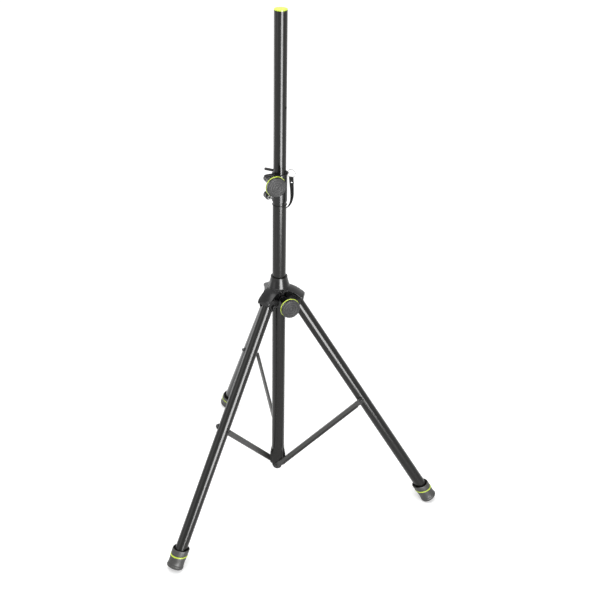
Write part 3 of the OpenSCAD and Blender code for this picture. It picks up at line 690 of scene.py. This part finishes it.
dress(tube_black, *[f"leg_tube_{k}" for k in (1, 2, 3)])
dress(nylon_black, *[f"leg_plug_{k}" for k in (1, 2, 3)])
softened("pivot_screws", "leg_pivot_bolts", 0.6, dark_steel, "hub", 3)
softened("pivot_nuts", "leg_pivot_nuts", 0.5, dark_steel, "hub")

# ---- Feet ----
# Each foot is a moulded rubber boot pushed over the leg's end. Its rim stands a little off the tube, a
# coloured ring lies in a groove round it, and its sole spreads to a flat lip that stands level.
rubber_grey = finish("rubber_grey", (0.030, 0.030, 0.028), 0.5, 900, 0.12, 0.12, 0.05, wear_and_sheen=0.5,
                     wear_and_sheen_color=(0.08, 0.08, 0.075))
lime_plastic = finish("lime_plastic", (0.58, 0.74, 0.055), 0.34, 800, 0.04, 0.04)
leg_open, foot_around = radians(32.53), 96
leg_len = (pivot_z - 9) / cos(leg_open)
ring_s, tilt = leg_len - 41.5, tan(radians(16))


def on_leg(k):
    """Places a shape drawn down from the pivot on leg k + 1."""
    pivot = Matrix.Translation((pivot_r * MM, 0, pivot_z * MM))
    return about(120 * k) @ pivot @ Matrix.Rotation(pi - leg_open, 4, "Y")


# Rows of a foot: radius, distance from the leg's end, and the lean of the row's plane, 1 at the rim
foot_rows = [(0.01, 9, 0), (16.9, 9, 0), (17.1, 44, 0.6), (17.2, 48.8, 1), (20.9, 48.8, 1),
             (21.5, 49.4, 1), (21.6, 51, 1), (21.7, 58.4, 1), (22.0, 60.4, 1), (22.5, 61, 1),
             (23.2, 61, 1), (23.8, 60.5, 1), (24.0, 59.6, 1), (24.0, 54, 1), (23.7, 44.8, 1),
             (23.3, 43.6, 1), (21.75, 43.4, 1), (21.75, 39.6, 1), (23.2, 39.4, 1), (23.5, 38.2, 1),
             (23.3, 34, 0.9), (22.9, 28, 0.6), (22.7, 22, 0.4), (22.9, 17, 0.3), (23.3, 15.2, 0.3),
             (23.5, 14.3, 0.3), (23.3, 13.5, 0.3), (22.7, 13.0, 0.3), (22.3, 12.4, 0.3),
             (22.4, 11.8, 0.3), (23.2, 11.0, 0.3), (24.0, 10.0, 0.25), (24.3, 8.8, 0.2),
             (24.3, 7, 0.15), (23.9, 4.6, 0.1), (22.8, 2.2, 0), (21.0, 0.6, 0), (18.6, 0, 0),
             (0.01, 0, 0)]
band = rounded([(21.8, -1.7), (24.6, -1.7, 0.8), (24.6, 1.7, 0.8), (21.8, 1.7)], 0.1, 4)


def foot_point(i, j):
    r, up, lean = foot_rows[j]
    a = 2 * pi * i / foot_around
    s = leg_len - up - r * cos(a) * tilt * lean
    # The sole is ground off level where it meets the floor
    return r * cos(a), r * sin(a), min(s, (pivot_z - r * cos(a) * sin(leg_open)) / cos(leg_open))


def band_point(i, j):
    r, up = band[j % len(band)]
    a = 2 * pi * i / foot_around
    return r * cos(a), r * sin(a), ring_s + up - r * cos(a) * tilt


for k in range(3):
    boot = wrapped(foot_around, len(foot_rows) - 1, foot_point)
    bmesh.ops.transform(boot, matrix=on_leg(k), verts=boot.verts)
    piece(f"boot_{k + 1}", boot, rubber_grey, f"leg_{k + 1}", [f"foot_{k + 1}"], sharp=55)
    hoop = wrapped(foot_around, len(band), band_point)
    bmesh.ops.transform(hoop, matrix=on_leg(k), verts=hoop.verts)
    piece(f"boot_ring_{k + 1}", hoop, lime_plastic, f"leg_{k + 1}", [f"foot_ring_{k + 1}"],
          sharp=55)

# ---- Clamp ----
# A moulded nylon collar on the mast's top end, split along one side and drawn shut by the screw of the
# clamp knob and a plain bolt below it. A harder bushing inside it guides the pole.
softened("collar", "clamp_collar", 0.9, nylon_black, "mast", 3)
softened("bushing", "clamp_bushing", 0.35, bush_grey, "mast")
softened("clamp_screw", "clamp_bolt", 0.4, dark_steel, "mast")
softened("clamp_nut_pair", "clamp_nuts", 0.5, dark_steel, "mast")

# ---- Pole ----
# A thinner tube of the same finish slides in the mast, on a moulded guide at its lower end, and shows
# long fine scuffs from the bushing.
dress(slid_black, "upper_tube")
dress(bush_grey, "pole_guide")

# ---- Cap ----
# The pole's end is closed by a pressed-in plug of coloured plastic, as wide as the tube, with a soft edge
# and a shallow domed top.
pole_r, pole_top, stand_h = 17.5, 1512.0, 1516.0
cap_side = [(0.01, pole_top - 14), (15.4, pole_top - 14), (15.9, pole_top - 13), (15.9, pole_top + 0.05),
            (16.9, pole_top + 0.05), (16.9, pole_top + 0.7), (17.35, pole_top + 0.75),
            (pole_r, pole_top + 0.95), (pole_r, stand_h - 1.5), (17.35, stand_h - 0.95),
            (16.9, stand_h - 0.5), (16.2, stand_h - 0.28), (14.0, stand_h - 0.16), (8, stand_h - 0.04),
            (0.01, stand_h)]
piece("pole_cap", turned(cap_side), lime_plastic, "pole", ["top_cap"], sharp=50)

# ---- Knobs ----
# Two alike knobs of glass-filled nylon on a steel stud. A waisted neck opens to a round head, a coloured
# ring lies in a groove behind it, and a grey face with plain turned steps is pressed into its front.
knob_grey = finish("knob_grey", (0.05, 0.05, 0.0505), 0.42, 1300, 0.06, 0.06, 0.03, level=0.15, wear_and_sheen=0.6,
                   wear_and_sheen_color=(0.12, 0.12, 0.12))
knob_r, knob_len, knob_gap, neck_r, stud_r = 27.1, 62.5, 0.3, 9.5, 4.02
ear_azimuth, ear_reach, ear_face, clamp_screw_z = 210, 35, 7.5, 1063
# Heights run from 0 at the face's front to -knob_len at the neck's end. Rows of the head and the face
# give how far a point lies inside the knob's radius, and its height.
head_rows = [(2.1, -6), (2.05, -5.9), (2.05, -2.7), (1.9, -2.6), (0.75, -2.6), (0.15, -2.95),
             (-0.15, -3.8), (-0.2, -10.2), (0.2, -10.85), (1, -11), (4, -11), (4, -13.4), (1.5, -13.4),
             (0.9, -13.8), (1.0, -15.2), (2.2, -17.6)]
body_side = [(0.01, -6)] + [(knob_r - inset, z) for inset, z in head_rows]
body_side += [(neck_r + (knob_r - 4.6 - neck_r) * (1 - sin(radians(a))), -19.4 - 20 * sin(radians(a / 2)))
              for a in range(0, 91, 6)]
body_side += [(neck_r - 0.05, -44), (neck_r - 0.15, -knob_len + 2.0), (neck_r - 0.5, -knob_len + 0.6),
              (neck_r - 1.4, -knob_len), (stud_r, -knob_len), (stud_r, -31.5), (0.01, -31.5)]
ring_side = rounded([(knob_r - 3.95, -13.35), (knob_r + 1.4, -13.35, 0.8), (knob_r + 1.4, -11.05, 0.8),
                     (knob_r - 3.95, -11.05)], 0.1, 5)
face_rows = [(2.1, -5.95), (2.1, -2.55), (0.95, -2.5), (0.8, -2.2), (0.95, -1.6), (1.5, -0.9),
             (2.4, -0.35), (3.4, -0.08), (4.3, 0), (4.8, -0.12), (5.1, -0.5), (5.3, -1.0), (5.8, -1.15),
             (8.1, -1.15), (8.6, -1.0), (8.9, -0.4), (9.4, -0.1), (11.6, -0.1), (12.1, -0.4),
             (12.4, -1.0), (12.9, -1.15), (14.8, -1.15), (15.3, -1.0), (15.6, -0.4), (16.1, -0.1),
             (18.0, -0.1), (18.5, -0.4), (18.8, -1.0), (19.3, -1.15)]
face_side = [(0.01, -5.95)] + [(knob_r - inset, z) for inset, z in face_rows]
face_side += [(4.2, -1.15), (3.7, -1.0), (3.3, -0.4), (2.8, -0.15), (0.01, -0.1)]
dress(dark_steel, "clamp_knob_stud", "hub_knob_stud")
clamp_seat = (ear_reach * MM, (ear_face + knob_gap + knob_len) * MM, clamp_screw_z * MM)
clamp_turn = about(ear_azimuth) @ Matrix.Translation(clamp_seat) @ Matrix.Rotation(-pi / 2, 4, "X")
hub_seat = ((boss_end + knob_gap + knob_len) * MM, 0, boss_z * MM)
hub_turn = about(knob_azimuth) @ Matrix.Translation(hub_seat) @ Matrix.Rotation(pi / 2, 4, "Y")
for which, place in (("clamp", clamp_turn), ("hub", hub_turn)):
    knob = f"{which}_knob"
    piece(f"{which}_grip", turned(body_side, place), nylon_black, knob, [knob], sharp=50)
    piece(f"{which}_grip_ring", turned(ring_side, place, closed=True), lime_plastic, knob,
          [f"{knob}_ring"], sharp=60)
    piece(f"{which}_grip_face", turned(face_side, place, 128), knob_grey, knob,
          [f"{knob}_face"], sharp=60)

# ---- Safety pin ----
# A nylon pin goes through the pole above the bushing. Its square head carries a split ring of plated
# spring wire, wound twice, for a finger.
ring_wire = finish("ring_wire", (0.14, 0.14, 0.137), 0.3, 1600, 0.02, 0.06, metal=1.0)
softened("pin_shank", "safety_pin", 0.5, nylon_black, "safety_pin")
softened("pin_block", "pin_head", 0.45, nylon_black, "safety_pin")
pin_azimuth, pin_z, pin_eye, ring_hangs, ring_r = 342, 1078.45, 22.2, 10, 11.4
wire_wide, wire_tall, coil_start, coil_turn, coil_rise = 0.62, 0.44, 60, 690, 0.84
coil_n, coil_sides = 220, 12
ring_place = (about(pin_azimuth) @ Matrix.Translation((pin_eye * MM, 0, pin_z * MM)) @ about(ring_hangs)
              @ Matrix.Translation((ring_r * MM, 0, 0)) @ Matrix.Rotation(pi / 2, 4, "X"))


def coil_point(i, j):
    turn = radians(coil_start + coil_turn * j / coil_n)
    # The wire steps over to its second turn in a short stretch near the middle of its length
    step = coil_rise * (max(0.0, min(1.0, (j / coil_n - 0.43) / 0.14)) - 0.5)
    a = 2 * pi * i / coil_sides
    r = ring_r + wire_wide * cos(a)
    return r * cos(turn), r * sin(turn), step + wire_tall * sin(a)


coil = wrapped(coil_sides, coil_n, coil_point)
bmesh.ops.transform(coil, matrix=ring_place, verts=coil.verts)
piece("finger_ring", coil, ring_wire, "pull_ring", ["split_ring"], sharp=50, even=False)

# ---- Braces ----
# Each brace is a channel pressed from steel strip, with flat round ends on its bolts, powder coated like
# the tubes but greyer.
brace_paint = finish("brace_paint", (0.036, 0.0355, 0.0335), 0.32, 1300, 0.03, wear_and_sheen=0.5,
                     wear_and_sheen_color=(0.12, 0.12, 0.115))
for k in (1, 2, 3):
    softened(f"stay_{k}", f"brace_{k}", 0.7, brace_paint, f"brace_{k}", 3)
    softened(f"stay_end_bolt_{k}", f"brace_end_bolt_{k}", 0.6, dark_steel, f"brace_{k}", 3)
    softened(f"stay_bolt_{k}", f"brace_bolt_{k}", 0.6, dark_steel, f"leg_{k}", 3)
    softened(f"stay_nut_{k}", f"brace_nut_{k}", 0.4, dark_steel, f"leg_{k}")
dress(nylon_black, *[f"brace_spacer_{k}" for k in (1, 2, 3)])

# ---- Strap line ----
# The strap's middle line, in metres, with every coordinate rounded to six places.
line = [[round(c, 6) for c in p] for p in line]
